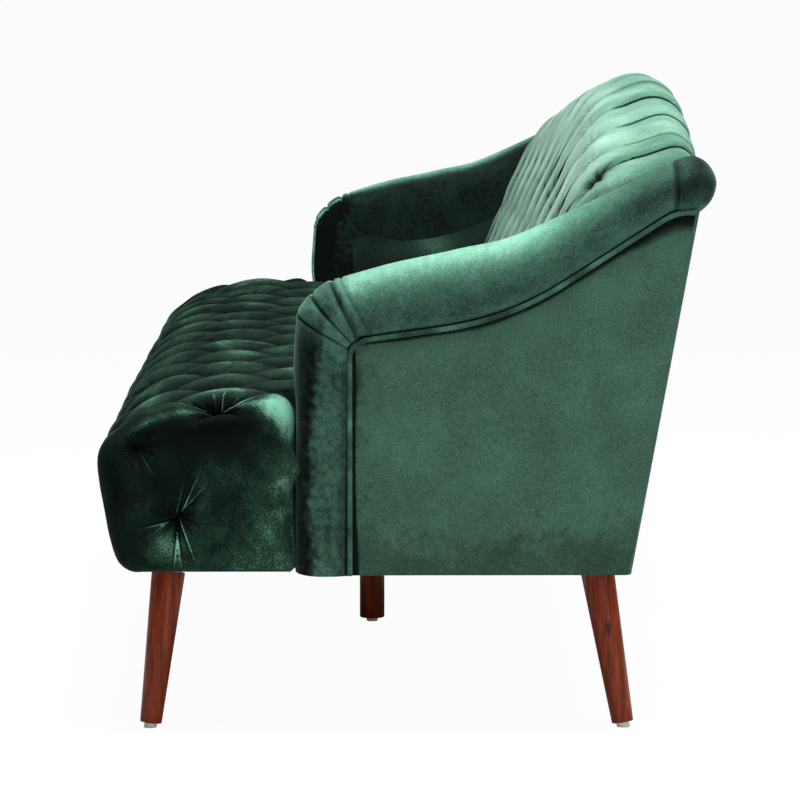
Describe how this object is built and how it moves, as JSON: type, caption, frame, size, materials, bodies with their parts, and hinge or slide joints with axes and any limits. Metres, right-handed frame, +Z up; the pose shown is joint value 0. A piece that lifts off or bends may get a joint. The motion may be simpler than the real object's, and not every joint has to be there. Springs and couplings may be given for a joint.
{
  "type": "tufted sofa",
  "caption": "Long sofa with a humped diamond-tufted back, a tufted seat that projects past low swept arms with padded rolls and welts, and splayed round wooden legs.",
  "frame": {"origin": "on the floor, at the middle of the sofa's length and depth", "axes": "+X along the length towards the sitter's left, +Y towards the outside back, +Z up"},
  "size_m": [1.83, 0.8161, 0.8468],
  "materials": {
    "green_velvet": "short pile velvet with a soft sheen",
    "frame_timber": "planed pine, bare",
    "stained_leg_wood": "red-brown stain under satin lacquer",
    "zinc_steel": "zinc plated",
    "upholstery_foam": "open cell foam",
    "felt": "needled felt",
    "twine": "waxed twine",
    "webbing": "woven elastic webbing",
    "cambric": "black non-woven cambric",
    "nylon": "pale grey nylon"
  },
  "bodies": {
    "root": {"arm_front_welt_left": "green_velvet", "arm_front_welt_right": "green_velvet", "arm_inside_pad_left": "green_velvet", "arm_inside_pad_right": "green_velvet", "arm_outside_panel_left": "green_velvet", "arm_outside_panel_right": "green_velvet", "arm_post_left": "frame_timber", "arm_post_right": "frame_timber", "arm_roll_left": "green_velvet", "arm_roll_right": "green_velvet", "arm_top_rail_left": "frame_timber", "arm_top_rail_right": "frame_timber", "arm_welt_left": "green_velvet", "arm_welt_right": "green_velvet", "back_end_cap_left": "green_velvet", "back_end_cap_right": "green_velvet", "back_foam": "upholstery_foam", "back_lower_rail": "frame_timber", "back_outside_panel": "green_velvet", "back_pad": "green_velvet", "back_post_left": "frame_timber", "back_post_right": "frame_timber", "back_top_rail": "frame_timber", "back_twine": "twine", "back_uprights": "frame_timber", "back_webbing": "webbing", "centre_leg": "stained_leg_wood", "corner_blocks": "frame_timber", "dust_cover": "cambric", "frame_bolts": "zinc_steel", "front_leg_left": "stained_leg_wood", "front_leg_right": "stained_leg_wood", "leg_bolts": "zinc_steel", "leg_glides": "nylon", "leg_plates": "zinc_steel", "plate_screws": "zinc_steel", "rear_leg_left": "stained_leg_wood", "rear_leg_right": "stained_leg_wood", "seat_centre_rail": "frame_timber", "seat_felt": "felt", "seat_foam": "upholstery_foam", "seat_front_rail": "frame_timber", "seat_pad": "green_velvet", "seat_rear_rail": "frame_timber", "seat_side_rail_left": "frame_timber", "seat_side_rail_right": "frame_timber", "seat_springs": "zinc_steel", "seat_twine": "twine", "spring_clips": "zinc_steel"}
  },
  "joints": []
}
